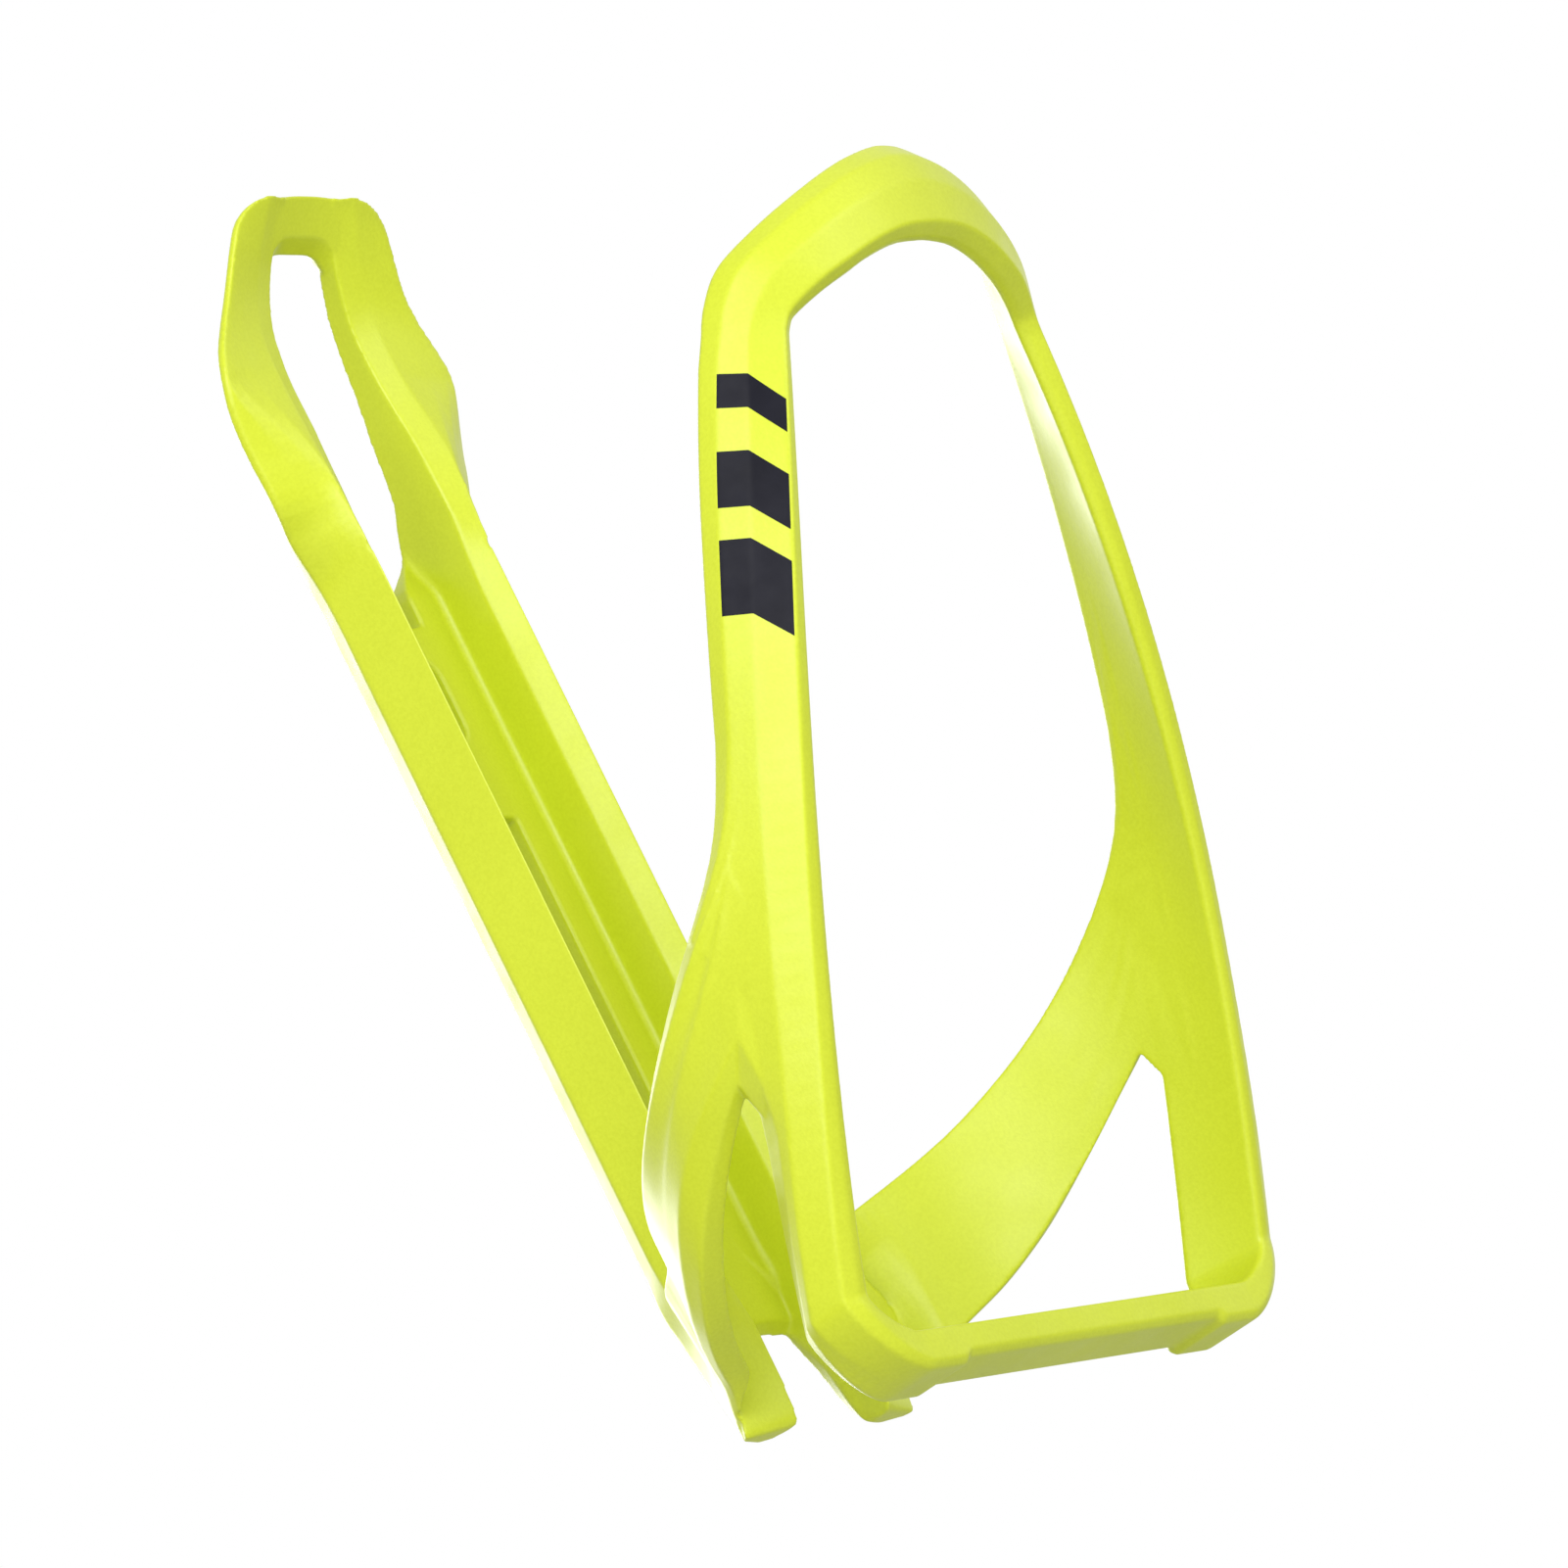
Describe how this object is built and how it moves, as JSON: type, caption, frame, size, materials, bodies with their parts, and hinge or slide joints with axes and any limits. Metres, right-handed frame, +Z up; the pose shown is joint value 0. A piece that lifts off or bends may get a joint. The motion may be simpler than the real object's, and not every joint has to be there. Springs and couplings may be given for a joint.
{
  "type": "bicycle bottle cage",
  "caption": "Bicycle bottle cage: slotted channel spine with a winged head, and a springy faceted loop of uprights, bands, hoop and base bar that grips a bottle.",
  "frame": {"origin": "on the rear mounting face, in the middle of the land under the lower bolt slot", "axes": "+Y out of the rear face towards the frame tube, +Z up along the bottle, +X to the right seen from the open front"},
  "size_m": [0.0806, 0.0864, 0.1554],
  "materials": {
    "moulding": "semi-matte fluorescent yellow, fine grain"
  },
  "bodies": {
    "spine": {"spine_left_rail": "moulding", "spine_right_rail": "moulding", "spine_head": "moulding", "upper_bolt_bridge": "moulding", "lower_bolt_bridge": "moulding"},
    "loop": {"left_upright": "moulding", "right_upright": "moulding", "left_band": "moulding", "right_band": "moulding", "left_corner": "moulding", "right_corner": "moulding", "top_hoop": "moulding", "base_bar": "moulding"}
  },
  "joints": [
    {"name": "loop_flex", "type": "hinge", "parent": "spine", "child": "loop", "pos_m": [0, -0.0097, -0.0055], "axis": [1, 0, 0], "range_deg": [0, 4], "stiffness_Nm_per_rad": 6}
  ]
}
